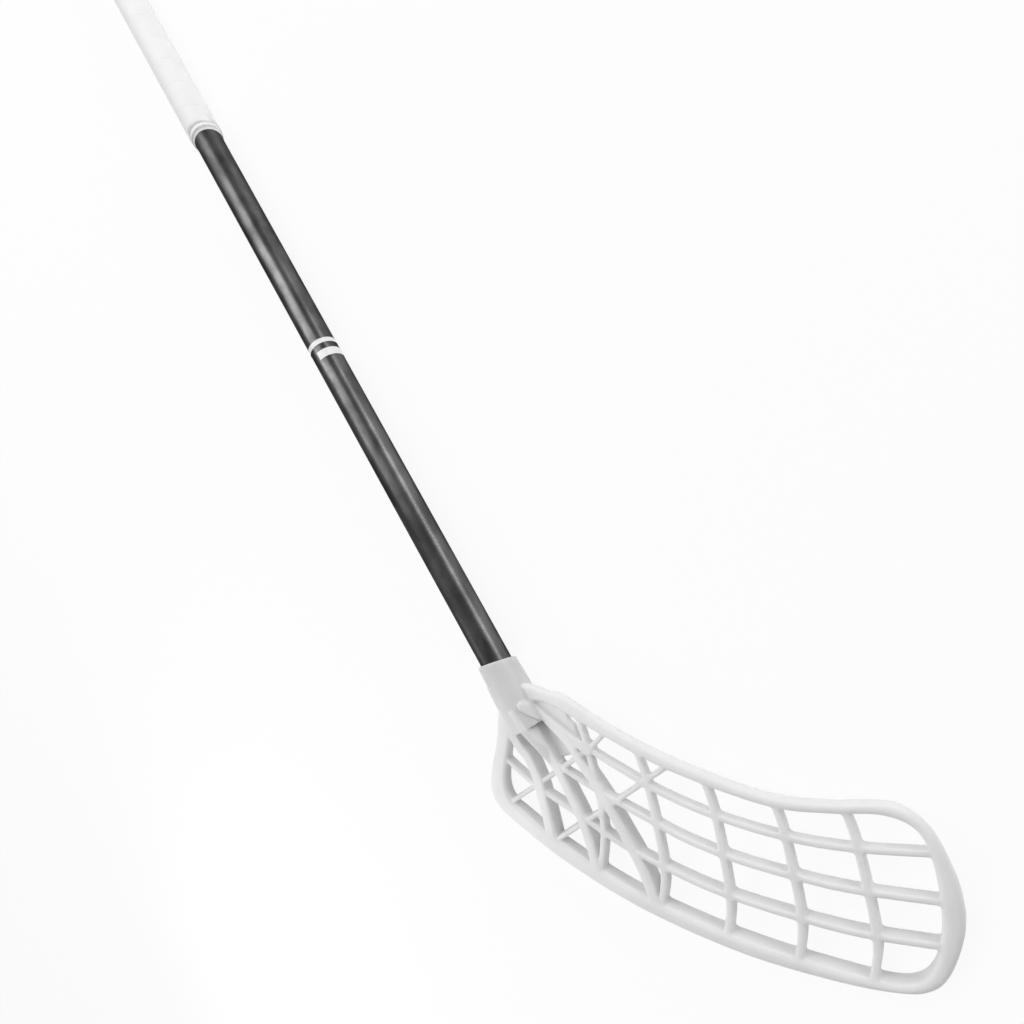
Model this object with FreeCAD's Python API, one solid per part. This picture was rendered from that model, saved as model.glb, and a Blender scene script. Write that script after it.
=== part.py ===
import FreeCAD, Part
import math
import os

from FreeCAD import Vector

# Floorball stick, lying on the floor. All sizes are in millimetres and degrees.
# The shaft axis runs along X, with the butt end towards +X and the blade towards -X.
# Turns about the shaft are counted from +Y towards +Z, before the stick is rolled to rest.

# Shaft
SHAFT_LENGTH = 960.0
SHAFT_INSERT = 46.0          # length hidden in the blade socket
BARE_LENGTH = 511.0          # from the socket mouth to the grip
SHAFT_UPPER_DIAMETER = 24.0  # under the grip
SHAFT_LOWER_DIAMETER = 21.6  # at the socket
SHAFT_WALL = 1.2

# Grip
GRIP_DIAMETER = 28.2
TAPE_CLEARANCE = 0.1         # glue under the tape
END_TAPE_LENGTH = 7.6
END_TAPE_DIAMETER = 27.2
END_STEP_LENGTH = 3.8        # thin lower step of the finishing tape
END_STEP_DIAMETER = 25.4

# Butt cap
CAP_FLANGE = 3.5
CAP_EDGE_RADIUS = 1.6
CAP_PLUG_LENGTH = 24.0
CAP_PLUG_WALL = 1.6
CAP_CLEARANCE = 0.1

# Printed marks on the shaft
MARK_THICKNESS = 0.12
MARK_CLEARANCE = 0.03
STRIPE_FROM_MOUTH = 275.3
STRIPE_WIDTH = 4.1
LABEL_GAP = 5.5              # bare shaft between the stripe and the label
LABEL_WIDTH = 6.9
LABEL_START = 103.0          # turn about the shaft where the label begins
LABEL_TURN = 190.0

# Blade socket
LIE_ANGLE = 124.0            # between the shaft and the blade's lower edge
SOCKET_DIAMETER = 28.2
SOCKET_MOUTH_DIAMETER = 26.6
SOCKET_TAPER_LENGTH = 25.0   # from the mouth down to the full diameter
SOCKET_LENGTH = 49.0
SOCKET_CLEARANCE = 0.15      # glue round the inserted shaft
MOUTH_SETBACK = 1.4          # from the zero of the blade drawing to the middle of the slanted mouth
MOUTH_SLANT = 12.5
MOUTH_SLANT_TURN = 52.0      # turn about the shaft of the mouth's high side
PAD_HEIGHT = 0.8             # low pad on the heel side of the socket
PAD_FROM_MOUTH = 13.3
PAD_LENGTH = 17.0
PAD_START = 48.0             # turn about the shaft where the pad begins
PAD_TURN = 36.0

# Blade screw, on the side of the socket that faces the floor
SCREW_FROM_MOUTH = 20.0
SCREW_TURN = 270.0
SCREW_DIAMETER = 3.5
SCREW_LENGTH = 7.0           # under the head
SCREW_HEAD_DIAMETER = 7.0
SCREW_HEAD_HEIGHT = 1.6
SCREW_HEAD_SINK = 0.6
SCREW_SLOT_WIDTH = 1.0
SCREW_SLOT_DEPTH = 0.7
SCREW_CLEARANCE = 0.15

# Finest detail kept when the resting place is measured on points of the surfaces
MEASURE_CHORD = 0.02

# Blade moulding. Fronts and backs are measured from the middle of the shaft.
HOOK_START = 30.0
HOOK_RADIUS = 1050.0
FRAME_FRONT = 4.5
FRAME_BACK = 2.5             # backs are given at the taper line
LATTICE_FRONT = 3.4
LATTICE_BACK = 1.5
WALL_FRONT = 4.1
WALL_BACK = 5.0
TAPER_LINE = -40.0           # below this height the moulding gets thicker, above it thinner
BACK_TAPER = 2.3
RAIL_HEIGHT = 3.7
RIB_WIDTH = 4.0
BRACE_WIDTH = 3.0
WALL_WIDTH = 6.4
HEEL_WALL_WIDTH = 7.8
WEB_THICKNESS = 3.0
TROUGH_DEPTH = 4.5           # from the middle of the shaft back to the middle of the web
POCKET_DEPTH = 0.0           # the same for the web under the upper edge of the frame
RIDGE_HEIGHT = 1.4           # two of the walls stand this high on the socket
RIDGE_LENGTH = 18.0          # room for them up the socket
RIDGE_FALL_LENGTH = 28.0     # past the end of the socket they fall to the front over this length

# Blade drawing: along the blade from heel to toe, then up. The socket mouth is at 0, 0.
FRAME_OUTER = [
    (13, -17), (4, -28), (1, -42), (-2.5, -62), (-8, -81), (-10.5, -96), (-8, -107), (4, -115.2),
    (45, -129.2), (101, -140.6), (161, -144.4), (208, -141.3), (236, -136.4), (249.5, -130), (257, -117.5),
    (261.4, -94), (260, -77), (254.8, -59.8), (245.5, -41.8), (231, -33.6), (206, -39.4), (184, -43),
    (160, -41.8), (118, -34), (84, -23.4), (66, -16.2), (55, -12), (44, -11.7), (26, -11),
]
FRAME_INNER = [
    (24, -34), (13, -46), (9, -60), (4.3, -80), (3.2, -94), (7.5, -103), (16, -107), (45, -117.5),
    (101, -131), (161, -136), (211, -134.6), (239, -131.3), (250.7, -117.8), (253.6, -92), (249.6, -61.6),
    (242.2, -44), (228, -39.2), (206, -44.3), (184, -48.2), (160, -47.2), (120, -41), (82, -30.3),
    (62, -23.8), (48, -19.8), (34, -20.5),
]
RAILS = [
    [(66, -41.6), (92, -50.1), (117, -58.1), (145, -63.2), (180, -65.2), (212, -62.6), (253, -53.8)],
    [(42, -60.8), (84.5, -72.2), (112, -79), (134, -84.2), (162, -86.9), (194, -86.7), (217, -85.1),
     (257, -78.8)],
    [(-4, -66.8), (28, -82.6), (60, -91.8), (91, -101.7), (120, -107.2), (150.5, -110.9), (187, -110.9),
     (220, -109.1), (257, -102.9)],
]
RIBS = [
    [(66, -22), (72, -44.5), (78.5, -75), (80.3, -100), (76, -131)],
    [(104, -33), (111.4, -58.5), (119.1, -108), (116.5, -138)],
    [(143.8, -42), (149.8, -64), (156.7, -112), (155.4, -140)],
    [(179.9, -46), (185.3, -65.5), (193, -111), (192, -139)],
    [(212.3, -42), (218.2, -62), (227, -109), (226.2, -136)],
]
BRACES = [
    [(84, -30.5), (66, -50.2), (2.3, -108.3)],
    [(123.4, -40.4), (76.5, -87.1), (40.3, -122.3)],
]
LEFT_WALL = [
    (22.4, -27.6), (31.2, -38.2), (40.2, -52), (45.5, -60.6), (50.9, -68.2), (57.7, -81.2), (63.6, -92.2),
    (69.7, -108.1), (74.3, -129),
]
RIGHT_WALL = [(45, -33), (58.4, -43), (68.6, -56.6), (81.1, -72.6), (94.3, -94), (105, -112.5), (114, -135)]
RAIL_WALL = [(26.5, -21.8), (50.5, -35), (72, -44.6)]
HEEL_WALL = [
    (11, -44), (14.5, -53), (19.2, -58.7), (25.2, -64), (31.2, -76.5), (35.5, -93), (38.6, -108), (41, -122),
]
TROUGH_WEB = [(24, -36), (41, -54), (47, -60.5), (64, -51), (52, -37), (37, -28)]
POCKET_WEB = [
    (27, -22), (28, -17), (44, -15.5), (57, -20.5), (57.5, -25.2), (59.5, -28.4), (63, -30), (66, -41),
    (50, -35),
]

# Worked out from the sizes above
BUTT_X = SHAFT_LENGTH - SHAFT_INSERT
WRAP_START = BARE_LENGTH + END_TAPE_LENGTH
UPPER_RADIUS = SHAFT_UPPER_DIAMETER / 2
LOWER_RADIUS = SHAFT_LOWER_DIAMETER / 2
BORE_RADIUS = LOWER_RADIUS + SOCKET_CLEARANCE
REACH = 2 * SOCKET_DIAMETER  # shapes that are trimmed later stand out this far
ALONG_SHAFT = Vector(1, 0, 0)
UP = Vector(0, 0, 1)
ORIGIN = Vector(0, 0, 0)


def turned(points, degrees=360.0, start=0.0):
    """Solid turned about the shaft axis from (along, radius) points."""
    face = Part.Face(Part.makePolygon([Vector(x, radius, 0) for x, radius in points + points[:1]]))
    face.rotate(ORIGIN, ALONG_SHAFT, start)
    return face.revolve(ORIGIN, ALONG_SHAFT, degrees)


def shaft_radius(x):
    """Outer radius of the shaft at a distance from the socket mouth."""
    share = min(max(x / BARE_LENGTH, 0.0), 1.0)
    return LOWER_RADIUS + share * (UPPER_RADIUS - LOWER_RADIUS)


def make_shaft():
    """Tapered tube with a hole for the blade screw."""
    stations = [-SHAFT_INSERT, 0.0, BARE_LENGTH, BUTT_X]
    outside = [(x, shaft_radius(x)) for x in stations]
    inside = [(x, shaft_radius(x) - SHAFT_WALL) for x in reversed(stations)]
    return turned(outside + inside).cut(screw_hole())


def make_grip_wrap():
    """Space of the wound cushion tape, as a plain sleeve."""
    inside = UPPER_RADIUS + TAPE_CLEARANCE
    outside = GRIP_DIAMETER / 2
    return turned([(WRAP_START, inside), (BUTT_X, inside), (BUTT_X, outside), (WRAP_START, outside)])


def make_grip_end_tape():
    """Finishing tape at the lower end of the grip, in two steps."""
    inside = UPPER_RADIUS + TAPE_CLEARANCE
    step_x = BARE_LENGTH + END_STEP_LENGTH
    return turned([
        (BARE_LENGTH, inside), (WRAP_START, inside), (WRAP_START, END_TAPE_DIAMETER / 2),
        (step_x, END_TAPE_DIAMETER / 2), (step_x, END_STEP_DIAMETER / 2),
        (BARE_LENGTH, END_STEP_DIAMETER / 2),
    ])


def make_butt_cap():
    """Flange over the end of tube and tape, with a hollow plug inside the tube."""
    rim = GRIP_DIAMETER / 2
    plug = UPPER_RADIUS - SHAFT_WALL - CAP_CLEARANCE
    face_x = BUTT_X + CAP_FLANGE
    plug_x = BUTT_X - CAP_PLUG_LENGTH
    cap = turned([
        (face_x, 0), (face_x, rim), (BUTT_X, rim), (BUTT_X, plug), (plug_x, plug),
        (plug_x, plug - CAP_PLUG_WALL), (BUTT_X, plug - CAP_PLUG_WALL), (BUTT_X, 0),
    ])
    outer_edge = [e for e in cap.Edges if e.BoundBox.XMin > BUTT_X and e.BoundBox.YLength > rim]
    return cap.makeFillet(CAP_EDGE_RADIUS, outer_edge)


def make_mark(low_x, high_x, degrees=360.0, start=0.0):
    """Thin print on the tapered shaft between two places."""
    inner = [(x, shaft_radius(x) + MARK_CLEARANCE) for x in (low_x, high_x)]
    outer = [(x, radius + MARK_THICKNESS) for x, radius in reversed(inner)]
    return turned(inner + outer, degrees, start)


def make_ring_stripe():
    """White ring round the shaft."""
    return make_mark(STRIPE_FROM_MOUTH, STRIPE_FROM_MOUTH + STRIPE_WIDTH)


def make_label_patch():
    """Blank patch below the ring, wrapped partly round the shaft."""
    high_x = STRIPE_FROM_MOUTH - LABEL_GAP
    return make_mark(high_x - LABEL_WIDTH, high_x, LABEL_TURN, LABEL_START)


def screw_direction():
    """From the shaft axis out through the screw head."""
    turn = math.radians(SCREW_TURN)
    return Vector(0, math.cos(turn), math.sin(turn))


def screw_head_place():
    """Middle of the outer face of the screw head."""
    return Vector(-SCREW_FROM_MOUTH, 0, 0) + screw_direction() * (SOCKET_DIAMETER / 2 - SCREW_HEAD_SINK)


def screw_hole():
    """Clearance hole for the screw's shank and head."""
    inward = -screw_direction()
    place = screw_head_place()
    shank = Part.makeCylinder(
        SCREW_DIAMETER / 2 + SCREW_CLEARANCE, SCREW_HEAD_HEIGHT + SCREW_LENGTH, place, inward)
    head = Part.makeCylinder(
        SCREW_HEAD_DIAMETER / 2 + SCREW_CLEARANCE, SCREW_HEAD_HEIGHT + SCREW_DIAMETER,
        place - inward * SCREW_DIAMETER, inward)
    return shank.fuse(head)


def make_blade_screw():
    """Slotted cheese-head screw through the socket wall and the shaft wall."""
    inward = -screw_direction()
    place = screw_head_place()
    head = Part.makeCylinder(SCREW_HEAD_DIAMETER / 2, SCREW_HEAD_HEIGHT, place, inward)
    shank = Part.makeCylinder(SCREW_DIAMETER / 2, SCREW_LENGTH + SCREW_HEAD_HEIGHT, place, inward)
    slot = Part.makeBox(
        2 * SCREW_HEAD_DIAMETER, SCREW_SLOT_WIDTH, 2 * SCREW_SLOT_DEPTH,
        Vector(-SCREW_HEAD_DIAMETER, -SCREW_SLOT_WIDTH / 2, -SCREW_SLOT_DEPTH))
    slot.Placement = FreeCAD.Placement(place, FreeCAD.Rotation(UP, inward)).multiply(slot.Placement)
    return head.fuse(shank).cut(slot)


def on_plane(point):
    """A point of the blade drawing as a vector."""
    return Vector(point[0], point[1], 0)


def smooth_loop(points):
    """Flat face inside a smooth closed curve through the points."""
    curve = Part.BSplineCurve()
    curve.interpolate(Points=[on_plane(p) for p in points], PeriodicFlag=True)
    return Part.Face(Part.Wire(curve.toShape()))


def strip(points, width):
    """Flat face of one width along a smooth centre line."""
    centre = Part.BSplineCurve()
    places = [on_plane(p) for p in points]
    centre.interpolate(places)
    sides = []
    for half in (-width / 2, width / 2):
        edge_points = []
        for place in places:
            tangent = centre.tangent(centre.parameter(place))[0]
            edge_points.append(place + Vector(-tangent.y, tangent.x, 0) * half)
        side = Part.BSplineCurve()
        side.interpolate(edge_points)
        sides.append(side)
    right, left = sides
    outline = [
        right.toShape(),
        Part.LineSegment(right.EndPoint, left.EndPoint).toShape(),
        left.toShape(),
        Part.LineSegment(left.StartPoint, right.StartPoint).toShape(),
    ]
    return Part.Face(Part.Wire(Part.__sortEdges__(outline)))


def upright(face):
    """Prism that stands out on both sides of the blade drawing."""
    prism = face.extrude(UP * (2 * REACH))
    prism.translate(UP * -REACH)
    return prism


def hooked_block(low, high):
    """Block between two heights that is flat at the heel and bends back along the hook."""
    outer = HOOK_RADIUS + high
    inner = HOOK_RADIUS + low
    toe = max(p[0] for p in FRAME_OUTER) + REACH
    heel = min(p[0] for p in FRAME_OUTER) - REACH
    bottom = min(p[1] for p in FRAME_OUTER) - REACH
    turn = math.asin((toe - HOOK_START) / inner)

    def on_arc(radius, angle):
        x = HOOK_START + radius * math.sin(angle)
        return Vector(x, bottom, radius * math.cos(angle) - HOOK_RADIUS)

    front_heel = Vector(heel, bottom, high)
    back_heel = Vector(heel, bottom, low)
    edges = [
        Part.LineSegment(front_heel, on_arc(outer, 0)),
        Part.Arc(on_arc(outer, 0), on_arc(outer, turn / 2), on_arc(outer, turn)),
        Part.LineSegment(on_arc(outer, turn), on_arc(inner, turn)),
        Part.Arc(on_arc(inner, turn), on_arc(inner, turn / 2), on_arc(inner, 0)),
        Part.LineSegment(on_arc(inner, 0), back_heel),
        Part.LineSegment(back_heel, front_heel),
    ]
    profile = Part.Face(Part.Wire([edge.toShape() for edge in edges]))
    return profile.extrude(Vector(0, REACH - bottom, 0))


def hooked_slab(front, back):
    """Space between a front and a back, with the back falling away towards the lower edge."""
    behind = hooked_block(-back, REACH)
    behind.rotate(Vector(0, TAPER_LINE, 0), Vector(1, 0, 0), BACK_TAPER)
    return hooked_block(-REACH, front).common(behind)


def ridge_room():
    """Half round room on the front of the socket and past its end, that the highest walls fill."""
    end_x = -SOCKET_LENGTH
    radius = SOCKET_DIAMETER / 2 + RIDGE_HEIGHT
    room = turned([
        (end_x - RIDGE_FALL_LENGTH, 0), (end_x + RIDGE_LENGTH, 0), (end_x + RIDGE_LENGTH, radius),
        (end_x, radius), (end_x - RIDGE_FALL_LENGTH, WALL_FRONT),
    ], 180)
    room.rotate(ORIGIN, UP, LIE_ANGLE)
    return room


def web(outline, depth):
    """Thin flat floor with straight edges, its middle at a depth behind the blade drawing."""
    face = Part.Face(Part.makePolygon([on_plane(p) for p in outline + outline[:1]]))
    face.translate(UP * -(depth + WEB_THICKNESS / 2))
    return face.extrude(UP * WEB_THICKNESS)


def make_grille():
    """Frame, walls, rails, ribs, braces and webs, in the place of the blade drawing."""
    outside = smooth_loop(FRAME_OUTER)
    inside = smooth_loop(FRAME_INNER)
    bars = [strip(points, RAIL_HEIGHT) for points in RAILS]
    bars += [strip(points, RIB_WIDTH) for points in RIBS]
    bars += [strip(points, BRACE_WIDTH) for points in BRACES]
    windows = inside.cut(bars)
    lattice = upright(outside.cut(windows.Faces).Faces[0])
    frame = upright(outside.cut(inside).Faces[0])
    high_walls = [upright(strip(points, WALL_WIDTH)) for points in (LEFT_WALL, RAIL_WALL)]
    low_walls = [upright(strip(RIGHT_WALL, WALL_WIDTH)), upright(strip(HEEL_WALL, HEEL_WALL_WIDTH))]
    wall_slab = hooked_slab(WALL_FRONT, WALL_BACK)
    pieces = [wall.common(wall_slab) for wall in high_walls + low_walls]
    pieces += [wall.common(ridge_room()) for wall in high_walls]
    pieces += [web(TROUGH_WEB, TROUGH_DEPTH), web(POCKET_WEB, POCKET_DEPTH)]
    pieces.append(frame.common(hooked_slab(FRAME_FRONT, FRAME_BACK)))
    return lattice.common(hooked_slab(LATTICE_FRONT, LATTICE_BACK)).fuse(pieces)


def make_socket():
    """Tube round the shaft that tapers to a slanted mouth, with a low pad on its heel side."""
    radius = SOCKET_DIAMETER / 2
    past_mouth = SOCKET_MOUTH_DIAMETER - radius
    tube = turned([
        (-SOCKET_LENGTH, 0), (SOCKET_TAPER_LENGTH, 0), (SOCKET_TAPER_LENGTH, past_mouth),
        (-SOCKET_TAPER_LENGTH, radius), (-SOCKET_LENGTH, radius),
    ])
    pad_high = -PAD_FROM_MOUTH
    pad_low = pad_high - PAD_LENGTH
    pad_radius = radius + PAD_HEIGHT
    pad = turned([
        (pad_low, BORE_RADIUS), (pad_high, BORE_RADIUS), (pad_high, pad_radius), (pad_low, pad_radius),
    ], PAD_TURN, PAD_START)
    slant = math.radians(MOUTH_SLANT)
    turn = math.radians(MOUTH_SLANT_TURN)
    outward = Vector(math.cos(slant), -math.sin(slant) * math.cos(turn), -math.sin(slant) * math.sin(turn))
    beyond = Part.makeCylinder(REACH, 2 * REACH, ALONG_SHAFT * -MOUTH_SETBACK, outward)
    return tube.cut(beyond).fuse(pad)


def make_blade():
    """The moulding: grille and socket in one, bored for the shaft and drilled for the screw."""
    grille = make_grille()
    grille.rotate(ORIGIN, UP, -LIE_ANGLE)
    bore = Part.makeCylinder(BORE_RADIUS, SOCKET_LENGTH + REACH, ALONG_SHAFT * -SOCKET_LENGTH, ALONG_SHAFT)
    return grille.fuse(make_socket()).cut([bore, screw_hole()])


def rest_roll(blade):
    """Roll about the shaft that brings the toe down to the floor the socket and grip lie on."""
    floor = SOCKET_DIAMETER / 2
    lifts = []
    for point in blade.tessellate(MEASURE_CHORD)[0]:
        reach = math.hypot(point.y, point.z)
        if point.y < -floor and reach > floor:
            lifts.append(math.asin(-floor / reach) - math.atan2(point.z, -point.y))
    return math.degrees(max(lifts))


def make_all():
    """Every piece, rolled to rest on the floor, with the middle of the box above the origin."""
    pieces = {
        "shaft_tube": make_shaft(),
        "grip_wrap": make_grip_wrap(),
        "grip_end_tape": make_grip_end_tape(),
        "butt_cap": make_butt_cap(),
        "ring_stripe": make_ring_stripe(),
        "label_patch": make_label_patch(),
        "blade": make_blade(),
        "blade_screw": make_blade_screw(),
    }
    roll = rest_roll(pieces["blade"])
    for shape in pieces.values():
        shape.rotate(ORIGIN, ALONG_SHAFT, -roll)
    box = FreeCAD.BoundBox()
    for shape in pieces.values():
        for point in shape.tessellate(MEASURE_CHORD)[0]:
            box.add(point)
    shift = Vector(-box.Center.x, -box.Center.y, -box.ZMin)
    for shape in pieces.values():
        shape.translate(shift)
    print("roll to rest", round(roll, 3), "degrees, shaft axis at", [round(v, 3) for v in shift])
    return pieces


if __name__ == "__main__":
    os.makedirs("parts", exist_ok=True)
    for name, shape in make_all().items():
        print(name, "valid" if shape.isValid() else "NOT VALID", len(shape.Solids), round(shape.Volume, 1))
        shape.exportStep("parts/" + name + ".step")
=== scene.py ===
import math

import bmesh
import bpy
import numpy as np
from mathutils import Euler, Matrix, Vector


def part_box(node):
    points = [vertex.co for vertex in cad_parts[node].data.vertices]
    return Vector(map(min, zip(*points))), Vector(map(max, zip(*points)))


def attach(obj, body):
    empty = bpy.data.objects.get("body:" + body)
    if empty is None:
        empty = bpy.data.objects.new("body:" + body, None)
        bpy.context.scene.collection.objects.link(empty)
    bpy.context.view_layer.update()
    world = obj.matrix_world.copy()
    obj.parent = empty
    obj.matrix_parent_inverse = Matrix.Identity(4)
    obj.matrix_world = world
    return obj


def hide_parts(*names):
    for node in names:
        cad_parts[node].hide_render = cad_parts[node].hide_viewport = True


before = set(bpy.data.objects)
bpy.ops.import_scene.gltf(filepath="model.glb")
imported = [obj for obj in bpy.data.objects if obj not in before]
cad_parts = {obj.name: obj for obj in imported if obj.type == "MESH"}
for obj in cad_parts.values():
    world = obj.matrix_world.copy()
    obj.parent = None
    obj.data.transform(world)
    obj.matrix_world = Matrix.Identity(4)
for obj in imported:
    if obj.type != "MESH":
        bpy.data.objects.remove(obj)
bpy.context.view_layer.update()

# Sizes in this script are millimetres and degrees unless a comment says otherwise.
# The stick is drawn with the shaft along X from the socket mouth, then rolled to rest and moved as the
# solids are.
MM = 0.001
REST_ROLL = 6.475
SHAFT_INSERT = 46.0
BARE_LENGTH = 511.0  # from the socket mouth up to the finishing tape
BUTT_X = 914.0  # upper end of the shaft and the grip

# Grip tape, wound as one strip. The points of its edges are along the shaft, then down from the outer radius.
# The low edge is under the lap of the turn before. The lap edge is over the next turn, and it is measured
# from the low edge of that turn.
TAPE_PITCH = 30.0
TAPE_OUTER = 14.1
TAPE_INNER = 12.1
TAPE_LOW_EDGE = [(0.0, 0.7), (0.3, 0.5), (2.2, 0.45), (3.4, 0.23), (6.2, 0.12)]
TAPE_MIDDLE_DEPTH = 0.02
TAPE_LAP_EDGE = [
    (-2.0, 0.02), (1.3, 0.03), (1.9, 0.1), (2.05, 0.25), (1.9, 0.38), (0.1, 0.38), (-0.15, 0.75),
]
TAPE_STEPS_PER_TURN = 120
LEAD_TURNS = 2  # wound before the grip starts and cut off again
TAIL_TURNS = 1  # the same after its end
CUT_TOLERANCE = 1e-7  # metres

# Finishing tape: its section runs along from the end of the bare shaft, then out from the axis
END_TAPE_LENGTH = 7.6
END_TAPE_SECTION = [
    (0.0, TAPE_INNER), (END_TAPE_LENGTH, TAPE_INNER), (END_TAPE_LENGTH, 13.3), (7.3, 13.6), (4.3, 13.6),
    (3.9, 13.45), (3.8, 13.2), (3.8, 12.7), (0.3, 12.7), (0.0, 12.45),
]
END_TAPE_STEPS = 160

# Socket
LIE_ANGLE = 124.0
SOCKET_RADIUS = 14.1
MOUTH_RADIUS = 13.3
TAPER_LENGTH = 25.0
SOCKET_LENGTH = 49.0
BORE_RADIUS = 10.95
MOUTH_SETBACK = 1.4
MOUTH_SLANT = 12.5
MOUTH_SLANT_TURN = 52.0
PAD_HEIGHT = 0.8
PAD_FROM_MOUTH = 13.3
PAD_LENGTH = 17.0
PAD_START = 48.0
PAD_TURN = 36.0
SCREW_FROM_MOUTH = 20.0
SCREW_HOLE_RADIUS = 3.65

# Blade moulding. Fronts and backs are measured from the middle of the shaft, backs at the taper line.
HOOK_START = 30.0
HOOK_RADIUS = 1050.0
FRAME_FRONT = 4.5
FRAME_BACK = 2.5
LATTICE_FRONT = 3.4
LATTICE_BACK = 1.5
WALL_FRONT = 4.1
WALL_BACK = 5.0
TAPER_LINE = -40.0
BACK_TAPER = 2.3
RAIL_HEIGHT = 3.7
RIB_WIDTH = 4.0
BRACE_WIDTH = 3.0
WALL_WIDTH = 6.4
HEEL_WALL_WIDTH = 7.8
WEB_HALF_THICKNESS = 1.5
TROUGH_DEPTH = 4.5
POCKET_DEPTH = 0.0
RIDGE_HEIGHT = 1.4
RIDGE_LENGTH = 22.0  # this and RAIL_WALL leave room for the round ends of the ridges
RIDGE_FALL_LENGTH = 28.0
OUTLINE_GROWTH = 0.5  # the outline stands out this much, as its rounding takes it in again
WINDOW_GROWTH = 0.5  # the same for the frame's inner edge
FRAME_ROUNDING = 2.8
BAR_ROUNDING = 0.7
WALL_ROUNDING = 1.0
CREST_NARROWING = 1.3  # on each side of a wall, from its front up to the top of the ridges
WINDOW_FILLET = 1.8  # in the corners of the windows
BAR_SETBACK = 2.5  # bars and walls end this far inside the outline
FILLET = 0.9
SOCKET_FILLET = 0.6
EDGE_SOFTNESS = 1.2
CURVE_STEPS = 14  # between two points of a drawn line
GRID_STEP = 0.65
GRID_MARGIN = 4 * GRID_STEP

# Blade drawing: along the blade from heel to toe, then up. The socket mouth is at 0, 0.
FRAME_OUTER = [
    (13, -17), (4, -28), (1, -42), (-2.5, -62), (-8, -81), (-10.5, -96), (-8, -107), (4, -115.2),
    (45, -129.2), (101, -140.6), (161, -144.4), (208, -141.3), (236, -136.4), (249.5, -130), (257, -117.5),
    (261.4, -94), (260, -77), (254.8, -59.8), (245.5, -41.8), (231, -33.6), (206, -39.4), (184, -43),
    (160, -41.8), (118, -34), (84, -23.4), (66, -16.2), (55, -12), (44, -11.7), (26, -11),
]
FRAME_INNER = [
    (24, -34), (13, -46), (9, -60), (4.3, -80), (3.2, -94), (7.5, -103), (16, -107), (45, -117.5),
    (101, -131), (161, -136), (211, -134.6), (239, -131.3), (250.7, -117.8), (253.6, -92), (249.6, -61.6),
    (242.2, -44), (228, -39.2), (206, -44.3), (184, -48.2), (160, -47.2), (120, -41), (82, -30.3),
    (62, -23.8), (48, -19.8), (34, -20.5),
]
RAILS = [
    [(66, -41.6), (92, -50.1), (117, -58.1), (145, -63.2), (180, -65.2), (212, -62.6), (253, -53.8)],
    [(42, -60.8), (84.5, -72.2), (112, -79), (134, -84.2), (162, -86.9), (194, -86.7), (217, -85.1),
     (257, -78.8)],
    [(-4, -66.8), (28, -82.6), (60, -91.8), (91, -101.7), (120, -107.2), (150.5, -110.9), (187, -110.9),
     (220, -109.1), (257, -102.9)],
]
RIBS = [
    [(66, -22), (72, -44.5), (78.5, -75), (80.3, -100), (76, -131)],
    [(104, -33), (111.4, -58.5), (119.1, -108), (116.5, -138)],
    [(143.8, -42), (149.8, -64), (156.7, -112), (155.4, -140)],
    [(179.9, -46), (185.3, -65.5), (193, -111), (192, -139)],
    [(212.3, -42), (218.2, -62), (227, -109), (226.2, -136)],
]
BRACES = [
    [(84, -30.5), (66, -50.2), (2.3, -108.3)],
    [(123.4, -40.4), (76.5, -87.1), (40.3, -122.3)],
]
LEFT_WALL = [
    (22.4, -27.6), (31.2, -38.2), (40.2, -52), (45.5, -60.6), (50.9, -68.2), (57.7, -81.2), (63.6, -92.2),
    (69.7, -108.1), (74.3, -129),
]
RIGHT_WALL = [(45, -33), (58.4, -43), (68.6, -56.6), (81.1, -72.6), (94.3, -94), (105, -112.5), (114, -135)]
RAIL_WALL = [(28, -22.6), (50.5, -35), (72, -44.6)]
HEEL_WALL = [
    (11, -44), (14.5, -53), (19.2, -58.7), (25.2, -64), (31.2, -76.5), (35.5, -93), (38.6, -108), (41, -122),
]
TROUGH_WEB = [(24, -36), (41, -54), (47, -60.5), (64, -51), (52, -37), (37, -28)]
POCKET_WEB = [
    (27, -22), (28, -17), (44, -15.5), (57, -20.5), (57.5, -25.2), (59.5, -28.4), (63, -30), (66, -41),
    (50, -35),
]

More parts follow.
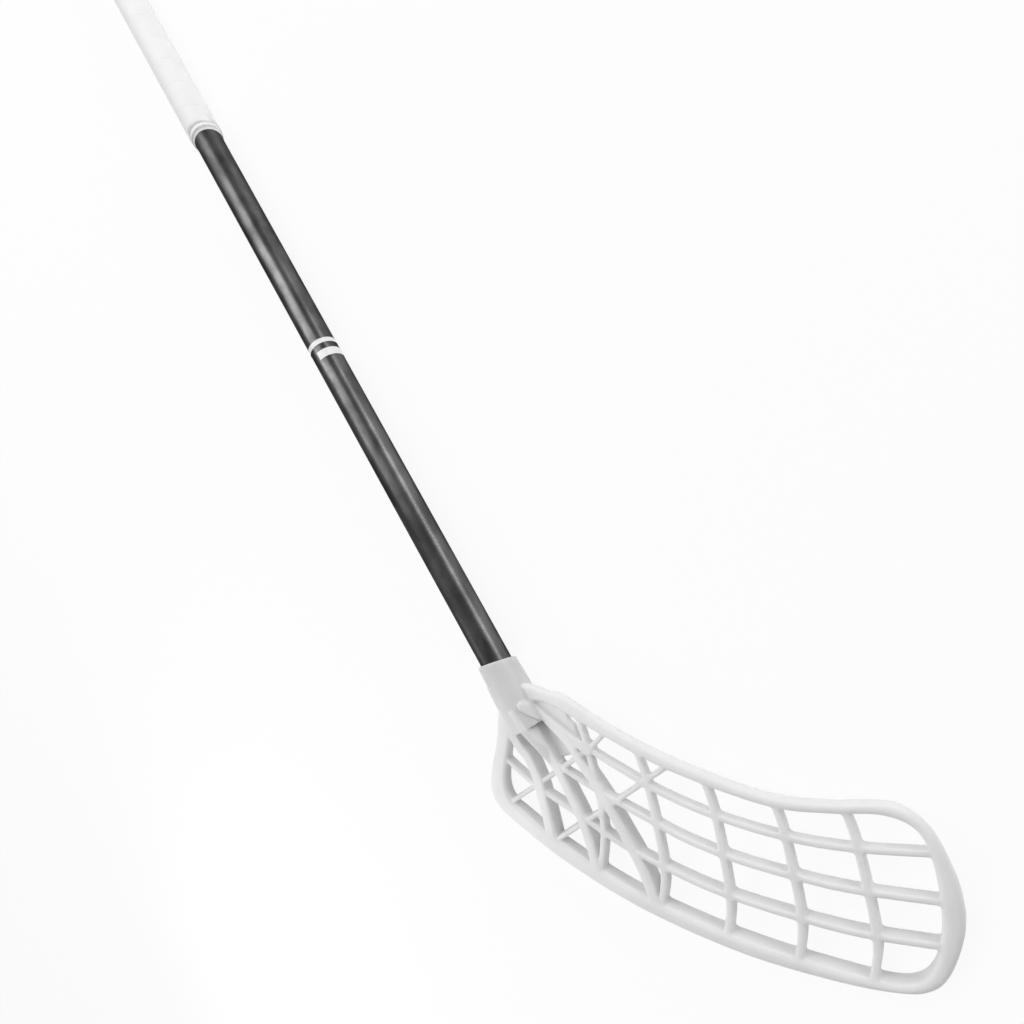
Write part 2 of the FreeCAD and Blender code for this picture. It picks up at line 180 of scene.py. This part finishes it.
# Looks. Grey and roughness vary between low and high with a noise, and skin is a bump. The scale of a noise
# is in waves to the metre, and stretch multiplies it along, across and up.
NOISE_DETAIL = 3.0
RAMP_START = 0.35  # value of the noise that gives low
RAMP_END = 0.65  # value of the noise that gives high
FIBRES = {"scale": 600.0, "detail": 2.0, "stretch": (3.0, 0.5, 0.5)}
LOOKS = {
    # Milky moulded plastic with a faint cloudiness and a fine eroded skin
    "blade_plastic": {
        "grey": {"low": 0.80, "high": 0.84, "scale": 25.0},
        "roughness": {"low": 0.42, "high": 0.52, "scale": 180.0},
        "skin": {"strength": 0.12, "depth": 0.05, "scale": 1600.0, "detail": 2.0},
        "shader": {
            "Subsurface Weight": 1.0, "Subsurface Radius": (1.0, 1.0, 1.0), "Subsurface Scale": 9.0 * MM,
        },
    },
    # White cushion tape with a fine grain and slight unevenness
    "grip_tape": {
        "grey": {"low": 0.87, "high": 0.90, "scale": 60.0},
        "roughness": {"low": 0.55, "high": 0.68, "scale": 300.0},
        "skin": {"strength": 0.25, "depth": 0.06, "scale": 900.0, "detail": 4.0},
    },
    # White finishing tape, a little shinier than the grip
    "finishing_tape": {
        "grey": {"low": 0.86, "high": 0.90, "scale": 150.0},
        "roughness": {"low": 0.42, "high": 0.52, "scale": 500.0},
        "skin": {"strength": 0.15, "depth": 0.04, "scale": 1200.0},
    },
    # White printed film with a slight gloss
    "white_print": {
        "grey": {"low": 0.87, "high": 0.90, "scale": 200.0},
        "roughness": {"low": 0.34, "high": 0.44, "scale": 700.0},
    },
    # Dark fibre composite under satin lacquer: fine fibres across and darker patches along the tube
    "shaft_composite": {
        "grey": {"low": 0.085, "high": 0.15, "scale": 90.0, "detail": 2.0, "stretch": (0.45, 1.0, 1.0)},
        "roughness": {"low": 0.32, "high": 0.39, **FIBRES},
        "skin": {"strength": 0.03, "depth": 0.05, **FIBRES},
        "shader": {"Metallic": 1.0, "Specular Tint": (0.3, 0.3, 0.3, 1)},
    },
    # Matt white moulded plastic
    "cap_plastic": {
        "grey": {"low": 0.78, "high": 0.84, "scale": 120.0},
        "skin": {"strength": 0.2, "depth": 0.05, "scale": 1500.0},
        "shader": {"Roughness": 0.5},
    },
    # Plain steel with fine turning marks
    "screw_steel": {
        "grey": {"low": 0.50, "high": 0.62, "scale": 400.0},
        "roughness": {"low": 0.25, "high": 0.4, "scale": 2500.0},
        "shader": {"Metallic": 1.0},
    },
}

# Camera at the photograph's angle and distance
CAMERA_PLACE = (-343.52, -210.85, 339.74)
CAMERA_TURN = (-7.077, 32.552, -126.342)
CAMERA_LENS = 20.74
SENSOR_WIDTH = 36.0
NEAREST_SEEN = 10.0

# Stage, in metres and watts
FLOOR_SIZE = 12.0
FLOOR_GREY = 0.9
FLOOR_WHITE = 0.92  # share of the floor seen as plain white
WORLD_STRENGTH = 0.3
LAMPS = {
    "side": {"place": (0.25, -1.45, 0.38), "target": (0.1, 0.05, 0.0), "size": (1.6, 0.42), "watts": 11.0},
    "overhead": {"place": (1.25, 0.25, 1.7), "target": (0.2, 0.05, 0.0), "size": (1.9, 0.75), "watts": 26.0},
    "fill": {"place": (-0.53, 0.58, 0.36), "target": (-0.4, 0.12, 0.0), "size": (0.3, 0.4), "watts": 1.4},
}

# Where the shaft axis and the socket mouth are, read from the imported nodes, in metres
shaft_low, shaft_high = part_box("shaft_tube")
AXIS_Y = (shaft_low[1] + shaft_high[1]) / 2
AXIS_Z = (shaft_low[2] + shaft_high[2]) / 2
MOUTH_X = shaft_low[0] + SHAFT_INSERT * MM


def to_model(points):
    """Drawn points, an array of x, y, z rows in millimetres, as rows in metres in the model's frame."""
    roll = math.radians(-REST_ROLL)
    x, y, z = np.asarray(points, float).T
    return np.stack([
        MOUTH_X + x * MM,
        AXIS_Y + (y * math.cos(roll) - z * math.sin(roll)) * MM,
        AXIS_Z + (y * math.sin(roll) + z * math.cos(roll)) * MM,
    ], axis=1)


def mesh_object(name, points, faces):
    """New smooth object from points in metres and faces."""
    mesh = bpy.data.meshes.new(name)
    mesh.from_pydata([tuple(point) for point in points], [], [tuple(face) for face in faces])
    mesh.validate()
    mesh.polygons.foreach_set("use_smooth", [True] * len(mesh.polygons))
    obj = bpy.data.objects.new(name, mesh)
    bpy.context.collection.objects.link(obj)
    return obj


# Materials

def noise(tree, coordinates, scale, detail=NOISE_DETAIL, stretch=None):
    """Noise texture, with the coordinates stretched if asked."""
    if stretch is not None:
        mapping = tree.nodes.new("ShaderNodeMapping")
        mapping.inputs["Scale"].default_value = stretch
        tree.links.new(coordinates, mapping.inputs["Vector"])
        coordinates = mapping.outputs["Vector"]
    texture = tree.nodes.new("ShaderNodeTexNoise")
    texture.inputs["Scale"].default_value = scale
    texture.inputs["Detail"].default_value = detail
    tree.links.new(coordinates, texture.inputs["Vector"])
    return texture.outputs["Fac"]


def varied(tree, coordinates, low, high, **pattern):
    """Grey between low and high, by a noise."""
    node = tree.nodes.new("ShaderNodeValToRGB")
    for element, place, grey in zip(node.color_ramp.elements, (RAMP_START, RAMP_END), (low, high)):
        element.position = place
        element.color = (grey, grey, grey, 1.0)
    tree.links.new(noise(tree, coordinates, **pattern), node.inputs["Fac"])
    return node.outputs["Color"]


def skin_bump(tree, coordinates, strength, depth, **pattern):
    """Bump by a noise."""
    node = tree.nodes.new("ShaderNodeBump")
    node.inputs["Strength"].default_value = strength
    node.inputs["Distance"].default_value = depth * MM
    tree.links.new(noise(tree, coordinates, **pattern), node.inputs["Height"])
    return node.outputs["Normal"]


def make_material(name):
    """Material of the look with this name."""
    look = LOOKS[name]
    material = bpy.data.materials.new(name)
    material.use_nodes = True
    tree = material.node_tree
    shader = tree.nodes["Principled BSDF"]
    coordinates = tree.nodes.new("ShaderNodeTexCoord").outputs["Object"]
    for entry, node_input, make in (
        ("grey", "Base Color", varied), ("roughness", "Roughness", varied), ("skin", "Normal", skin_bump),
    ):
        if entry in look:
            tree.links.new(make(tree, coordinates, **look[entry]), shader.inputs[node_input])
    for node_input, value in look.get("shader", {}).items():
        shader.inputs[node_input].default_value = value
    return material


# Blade: the distance to each form is worked out on a grid, the forms are blended, and the surface is drawn
# round them.

def smooth_line(points, closed=False):
    """Points along a smooth curve through the given points."""
    line = np.asarray(points, float)
    if closed:
        line = np.vstack([line[-1:], line, line[:2]])
    else:
        line = np.vstack([2 * line[0] - line[1], line, 2 * line[-1] - line[-2]])
    pieces = []
    share = np.linspace(0, 1, CURVE_STEPS, endpoint=False)[:, None]
    for a, b, c, d in zip(line, line[1:], line[2:], line[3:]):
        pieces.append(0.5 * (2 * b + (c - a) * share + (2 * a - 5 * b + 4 * c - d) * share ** 2
                             + (3 * b - a - 3 * c + d) * share ** 3))
    if not closed:
        pieces.append(line[-2:-1])
    return np.vstack(pieces)


def line_distance(x, y, line):
    """Distance of every grid point to a line of points."""
    best = np.full(x.shape, np.inf)
    for (ax, ay), (bx, by) in zip(line, line[1:]):
        dx = bx - ax
        dy = by - ay
        share = np.clip(((x - ax) * dx + (y - ay) * dy) / (dx * dx + dy * dy), 0, 1)
        np.minimum(best, (x - ax - share * dx) ** 2 + (y - ay - share * dy) ** 2, out=best)
    return np.sqrt(best)


def loop_distance(x, y, line):
    """Distance to a closed line, negative inside it."""
    closed = np.vstack([line, line[:1]])
    inside = np.zeros(x.shape, bool)
    for (ax, ay), (bx, by) in zip(closed, closed[1:]):
        crosses = (ay > y) != (by > y)
        rise = by - ay if by != ay else 1.0
        inside ^= crosses & (x < (bx - ax) * (y - ay) / rise + ax)
    return np.where(inside, -1.0, 1.0) * line_distance(x, y, closed)


def rounded_slab(flat, depth, rounding):
    """Distance to a form with a flat outline and a depth, its edges rounded."""
    a = flat + rounding
    b = depth + rounding
    return np.hypot(np.maximum(a, 0), np.maximum(b, 0)) + np.minimum(np.maximum(a, b), 0) - rounding


def blend(a, b, width):
    """Union of two forms with a fillet between them."""
    share = np.clip(0.5 + 0.5 * (b - a) / width, 0, 1)
    return b + (a - b) * share - width * share * (1 - share)


def carve(a, b, width):
    """Form a without form b, the new edge softened."""
    return -blend(-a, b, width)


def at_corner(field, corner):
    """The distances at one corner of every cell of the grid."""
    i, j, k = corner
    size_i, size_j, size_k = field.shape
    return field[i:size_i - 1 + i, j:size_j - 1 + j, k:size_k - 1 + k]


def surface_of(field, origin, step):
    """Points and four-sided faces round the negative part of a grid of distances."""
    corners = [(i, j, k) for i in (0, 1) for j in (0, 1) for k in (0, 1)]
    count = sum((at_corner(field, c) < 0).astype(np.int8) for c in corners)
    mixed = np.argwhere((count > 0) & (count < len(corners)))
    values = {c: field[tuple((mixed + c).T)] for c in corners}

    # Each mixed cell gets one point, in the middle of the places where its edges cross the surface
    total = np.zeros((len(mixed), 3))
    hits = np.zeros(len(mixed))
    for start in corners:
        for axis in range(3):
            if start[axis]:
                continue
            end = tuple(1 if other == axis else start[other] for other in range(3))
            at_start = values[start]
            at_end = values[end]
            cut = (at_start < 0) != (at_end < 0)
            share = np.where(cut, at_start / np.where(cut, at_start - at_end, 1.0), 0.0)
            place = np.tile(np.array(start, float), (len(mixed), 1))
            place[:, axis] = share
            total += place * cut[:, None]
            hits += cut
    points = origin + (mixed + total / hits[:, None]) * step
    number = np.full(count.shape, -1, np.int64)
    number[tuple(mixed.T)] = np.arange(len(mixed))

    # Each edge of the grid that crosses the surface gets one face, between the four cells round it
    faces = []
    for axis in range(3):
        first, second = [other for other in range(3) if other != axis]
        low = np.take(field, range(field.shape[axis] - 1), axis)
        high = np.take(field, range(1, field.shape[axis]), axis)
        for flip in (False, True):
            edges = np.argwhere((low < 0) & (high >= 0) if not flip else (low >= 0) & (high < 0))
            edges = edges[(edges[:, first] > 0) & (edges[:, second] > 0)]
            quad = []
            for first_back, second_back in ((1, 1), (0, 1), (0, 0), (1, 0)):
                cell = edges.copy()
                cell[:, first] -= first_back
                cell[:, second] -= second_back
                quad.append(number[tuple(cell.T)])
            quad = np.stack(quad, axis=1)
            turn_over = flip != (axis == 1)
            faces.append(quad if not turn_over else quad[:, ::-1])
    return points, np.vstack(faces)


def slab_depth(y, z, front, back):
    """Distance out of the space between a front and a back that falls away towards the lower edge."""
    fall = math.tan(math.radians(BACK_TAPER)) * (TAPER_LINE - y)
    return np.maximum(z - front, -z - back - fall)


def lattice_outline(x, y, rim, outside):
    """Distance to the flat outline of the frame and its bars, with softened window corners."""
    outline = rim
    for lines, width in ((RAILS, RAIL_HEIGHT), (RIBS, RIB_WIDTH), (BRACES, BRACE_WIDTH)):
        for points in lines:
            strip = line_distance(x, y, smooth_line(points)) - width / 2
            outline = blend(outline, strip, WINDOW_FILLET)
    return np.maximum(outline, outside + BAR_SETBACK)


def ridge_room(along, radius, z):
    """Distance to the half round room on the front of the socket and past its end, for the highest walls."""
    past_end = np.clip((-SOCKET_LENGTH - along) / RIDGE_FALL_LENGTH, 0, 1)
    top = SOCKET_RADIUS + RIDGE_HEIGHT
    height = top + past_end * (WALL_FRONT - top)
    ends = np.maximum(along + SOCKET_LENGTH - RIDGE_LENGTH, -SOCKET_LENGTH - RIDGE_FALL_LENGTH - along)
    return np.maximum(np.maximum(radius - height, -z), ends)


def socket_tube(along, across, radius, z):
    """Distance to the tapered socket with its low pad, before it is bored."""
    taper = (SOCKET_RADIUS - MOUTH_RADIUS) * np.clip(along / TAPER_LENGTH + 1, 0, None)
    tube = np.maximum(radius - SOCKET_RADIUS + taper, -SOCKET_LENGTH - along)
    turn = np.arctan2(z, -across) - math.radians(PAD_START)
    height = PAD_HEIGHT * np.clip(1 - turn / math.radians(PAD_TURN), 0, 1)
    sides = np.maximum(along + PAD_FROM_MOUTH, -PAD_FROM_MOUTH - PAD_LENGTH - along)
    sides = np.maximum(sides, -turn * radius)
    pad = rounded_slab(sides, radius - SOCKET_RADIUS + taper - height, EDGE_SOFTNESS)
    return np.minimum(tube, pad)


def socket_cuts(along, across, radius, z):
    """Distance to the bore, the room beyond the slanted mouth and the screw hole."""
    bore = np.maximum(radius - BORE_RADIUS, -SOCKET_LENGTH - along)
    turn = math.radians(MOUTH_SLANT_TURN)
    slant = math.radians(MOUTH_SLANT)
    high_side = z * math.sin(turn) - across * math.cos(turn)
    beyond = high_side * math.sin(slant) - (along + MOUTH_SETBACK) * math.cos(slant)
    screw = np.maximum(np.hypot(along + SCREW_FROM_MOUTH, across) - SCREW_HOLE_RADIUS, z)
    return np.minimum(np.minimum(bore, beyond), screw)


def blade_field(x, y, z):
    """Distance to the moulding before it is hooked. x and y lie in the drawing and z stands out of it."""
    outside = loop_distance(x, y, smooth_line(FRAME_OUTER, closed=True))
    inside = loop_distance(x, y, smooth_line(FRAME_INNER, closed=True))
    rim = np.maximum(outside - OUTLINE_GROWTH, -inside - WINDOW_GROWTH)
    lattice = lattice_outline(x, y, rim, outside)
    webs = []
    for outline, web_depth in ((TROUGH_WEB, TROUGH_DEPTH), (POCKET_WEB, POCKET_DEPTH)):
        webs.append((loop_distance(x, y, np.asarray(outline, float))[:, :, None], web_depth))
    high_walls = []
    low_walls = []
    for points, width, walls in (
        (LEFT_WALL, WALL_WIDTH, high_walls), (RAIL_WALL, WALL_WIDTH, high_walls),
        (RIGHT_WALL, WALL_WIDTH, low_walls), (HEEL_WALL, HEEL_WALL_WIDTH, low_walls),
    ):
        strip = line_distance(x, y, smooth_line(points)) - width / 2
        walls.append(np.maximum(strip, outside + BAR_SETBACK)[:, :, None])

    # From here on every grid has the depth as its third axis
    lie = math.radians(LIE_ANGLE)
    along = (x * math.cos(lie) + y * math.sin(lie))[:, :, None]
    across = (x * math.sin(lie) - y * math.cos(lie))[:, :, None]
    y = y[:, :, None]
    z = z[None, None, :]
    radius = np.hypot(across, z)
    body = rounded_slab(rim[:, :, None], slab_depth(y, z, FRAME_FRONT, FRAME_BACK), FRAME_ROUNDING)
    bars = rounded_slab(lattice[:, :, None], slab_depth(y, z, LATTICE_FRONT, LATTICE_BACK), BAR_ROUNDING)
    body = blend(body, bars, FILLET)
    wall_depth = slab_depth(y, z, WALL_FRONT, WALL_BACK)
    for wall in low_walls:
        body = blend(body, rounded_slab(wall, wall_depth, WALL_ROUNDING), FILLET)
    high_depth = np.minimum(wall_depth, ridge_room(along, radius, z))
    height_share = np.clip((z - WALL_FRONT) / (SOCKET_RADIUS + RIDGE_HEIGHT - WALL_FRONT), 0, 1)
    for wall in high_walls:
        narrowed = wall + CREST_NARROWING * height_share
        body = blend(body, rounded_slab(narrowed, high_depth, WALL_ROUNDING), FILLET)
    for web, web_depth in webs:
        sheet = np.abs(z + web_depth) - WEB_HALF_THICKNESS
        body = blend(body, rounded_slab(web, sheet, EDGE_SOFTNESS), FILLET)
    body = blend(body, socket_tube(along, across, radius, z), SOCKET_FILLET)
    return carve(body, socket_cuts(along, across, radius, z), EDGE_SOFTNESS)


def make_blade():
    """The moulding as one smooth skin, hooked and laid in the place of its solid."""
    # The grid holds the frame, the ridges, and the socket, which stands out a little past the heel
    left = min(x for x, y in FRAME_OUTER)
    right = max(x for x, y in FRAME_OUTER)
    bottom = min(y for x, y in FRAME_OUTER)
    low = np.array([left - SOCKET_RADIUS / 2, bottom, -SOCKET_RADIUS]) - GRID_MARGIN
    high = np.array([right, SOCKET_RADIUS, SOCKET_RADIUS + RIDGE_HEIGHT]) + GRID_MARGIN
    x, y, z = [np.arange(a, b, GRID_STEP) for a, b in zip(low, high)]
    flat_x, flat_y = np.meshgrid(x, y, indexing="ij")
    field = blade_field(flat_x, flat_y, z).astype(np.float32)
    points, faces = surface_of(field, low, GRID_STEP)

    # Hook the blade towards its back and turn it from the drawing to the shaft
    x, y, z = points.T
    over = np.maximum(x - HOOK_START, 0)
    hooked = z - (HOOK_RADIUS - np.sqrt(HOOK_RADIUS ** 2 - over ** 2))
    lie = math.radians(LIE_ANGLE)
    along = x * math.cos(lie) + y * math.sin(lie)
    across = -x * math.sin(lie) + y * math.cos(lie)
    return mesh_object("blade_moulding", to_model(np.stack([along, across, hooked], axis=1)), faces)


# Grip and finishing tape

def turned(section, start, angle):
    """A ring of points: a section of places along and radii, moved along the shaft and turned about it."""
    return [(start + along, radius * math.cos(angle), radius * math.sin(angle)) for along, radius in section]


def ring_faces(first, second, size):
    """Faces between two rings of points, from the numbers of their first points."""
    faces = []
    for i in range(size):
        j = (i + 1) % size
        faces.append((first + i, first + j, second + j, second + i))
    return faces


def tape_section():
    """Section of the grip tape, from its lower edge to its lap over the next turn."""
    section = [(0.0, TAPE_INNER)]
    section += [(along, TAPE_OUTER - depth) for along, depth in TAPE_LOW_EDGE]
    section.append((TAPE_PITCH / 2, TAPE_OUTER - TAPE_MIDDLE_DEPTH))
    section += [(TAPE_PITCH + along, TAPE_OUTER - depth) for along, depth in TAPE_LAP_EDGE]
    section.append((section[-1][0], TAPE_INNER))
    return section


def cut_ends(obj, low, high):
    """Cut an object off square at two places along the shaft and close it there."""
    work = bmesh.new()
    work.from_mesh(obj.data)
    for place, outward in ((low, -1), (high, 1)):
        cut = bmesh.ops.bisect_plane(
            work, geom=work.verts[:] + work.edges[:] + work.faces[:], dist=CUT_TOLERANCE,
            plane_co=Vector((MOUTH_X + place * MM, 0, 0)), plane_no=Vector((outward, 0, 0)), clear_outer=True)
        edges = [e for e in cut["geom_cut"] if isinstance(e, bmesh.types.BMEdge)]
        bmesh.ops.holes_fill(work, edges=edges, sides=0)
    bmesh.ops.recalc_face_normals(work, faces=work.faces[:])
    work.to_mesh(obj.data)
    work.free()


def make_grip():
    """Cushion tape wound as one strip, each turn lapping over the edge of the next."""
    section = tape_section()
    size = len(section)
    start = BARE_LENGTH + END_TAPE_LENGTH
    turns = (BUTT_X - start) / TAPE_PITCH + LEAD_TURNS + TAIL_TURNS
    steps = int(turns * TAPE_STEPS_PER_TURN)
    points = []
    for step in range(steps + 1):
        turn = step / TAPE_STEPS_PER_TURN
        points += turned(section, start + (turn - LEAD_TURNS) * TAPE_PITCH, -2 * math.pi * turn)
    faces = []
    for step in range(steps):
        faces += ring_faces(step * size, (step + 1) * size, size)
    winding = mesh_object("grip_winding", to_model(points), faces)
    cut_ends(winding, start, BUTT_X)
    return winding


def make_end_tape():
    """Finishing tape in two soft steps, turned about the shaft."""
    size = len(END_TAPE_SECTION)
    points = []
    faces = []
    for step in range(END_TAPE_STEPS):
        points += turned(END_TAPE_SECTION, BARE_LENGTH, 2 * math.pi * step / END_TAPE_STEPS)
        following = (step + 1) % END_TAPE_STEPS
        faces += ring_faces(following * size, step * size, size)
    return mesh_object("finishing_band", to_model(points), faces)


blade = make_blade()
blade.data.materials.append(make_material("blade_plastic"))
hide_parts("blade")
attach(blade, "root")

grip = make_grip()
grip.data.materials.append(make_material("grip_tape"))
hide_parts("grip_wrap")
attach(grip, "root")

band = make_end_tape()
band.data.materials.append(make_material("finishing_tape"))
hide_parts("grip_end_tape")
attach(band, "root")

white_print = make_material("white_print")
for node, material in (
    ("shaft_tube", make_material("shaft_composite")),
    ("ring_stripe", white_print),
    ("label_patch", white_print),
    ("butt_cap", make_material("cap_plastic")),
    ("blade_screw", make_material("screw_steel")),
):
    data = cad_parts[node].data
    data.materials.clear()
    data.materials.append(material)


# Stage: a white floor that keeps a soft shadow, studio lamps and the photograph's camera

def make_floor():
    """White floor. Seen directly or in a reflection it is nearly plain white."""
    half = FLOOR_SIZE / 2
    corners = [(-half, -half, 0), (half, -half, 0), (half, half, 0), (-half, half, 0)]
    floor = mesh_object("floor", corners, [(0, 1, 2, 3)])
    material = bpy.data.materials.new("floor_white")
    material.use_nodes = True
    tree = material.node_tree
    tree.nodes.clear()
    output = tree.nodes.new("ShaderNodeOutputMaterial")
    matt = tree.nodes.new("ShaderNodeBsdfDiffuse")
    matt.inputs["Color"].default_value = (FLOOR_GREY, FLOOR_GREY, FLOOR_GREY, 1)
    glow = tree.nodes.new("ShaderNodeEmission")
    path = tree.nodes.new("ShaderNodeLightPath")
    seen = path.outputs["Is Camera Ray"]
    for other in ("Is Glossy Ray", "Is Transmission Ray"):
        either = tree.nodes.new("ShaderNodeMath")
        either.operation = "MAXIMUM"
        tree.links.new(seen, either.inputs[0])
        tree.links.new(path.outputs[other], either.inputs[1])
        seen = either.outputs[0]
    share = tree.nodes.new("ShaderNodeMath")
    share.operation = "MULTIPLY"
    share.inputs[1].default_value = FLOOR_WHITE
    tree.links.new(seen, share.inputs[0])
    mix = tree.nodes.new("ShaderNodeMixShader")
    tree.links.new(share.outputs[0], mix.inputs["Fac"])
    tree.links.new(matt.outputs["BSDF"], mix.inputs[1])
    tree.links.new(glow.outputs["Emission"], mix.inputs[2])
    tree.links.new(mix.outputs["Shader"], output.inputs["Surface"])
    floor.data.materials.append(material)


def make_lamp(name, place, target, size, watts):
    """Soft rectangular lamp, aimed at a point."""
    data = bpy.data.lights.new(name, "AREA")
    data.shape = "RECTANGLE"
    data.size, data.size_y = size
    data.energy = watts
    lamp = bpy.data.objects.new(name, data)
    lamp.location = place
    lamp.rotation_euler = (Vector(target) - Vector(place)).to_track_quat("-Z", "Y").to_euler()
    bpy.context.collection.objects.link(lamp)


def make_camera():
    """Camera of the photograph."""
    data = bpy.data.cameras.new("camera")
    data.sensor_width = SENSOR_WIDTH
    data.lens = CAMERA_LENS
    data.clip_start = NEAREST_SEEN * MM
    camera = bpy.data.objects.new("camera", data)
    camera.location = Vector(CAMERA_PLACE) * MM
    camera.rotation_euler = Euler([math.radians(a) for a in CAMERA_TURN], "XYZ")
    bpy.context.collection.objects.link(camera)
    bpy.context.scene.camera = camera


make_floor()
for lamp_name, lamp_values in LAMPS.items():
    make_lamp(lamp_name, **lamp_values)
make_camera()

world = bpy.data.worlds.new("studio")
bpy.context.scene.world = world
world.use_nodes = True
background = world.node_tree.nodes["Background"]
background.inputs["Color"].default_value = (1, 1, 1, 1)
background.inputs["Strength"].default_value = WORLD_STRENGTH
bpy.context.scene.view_settings.view_transform = "Standard"
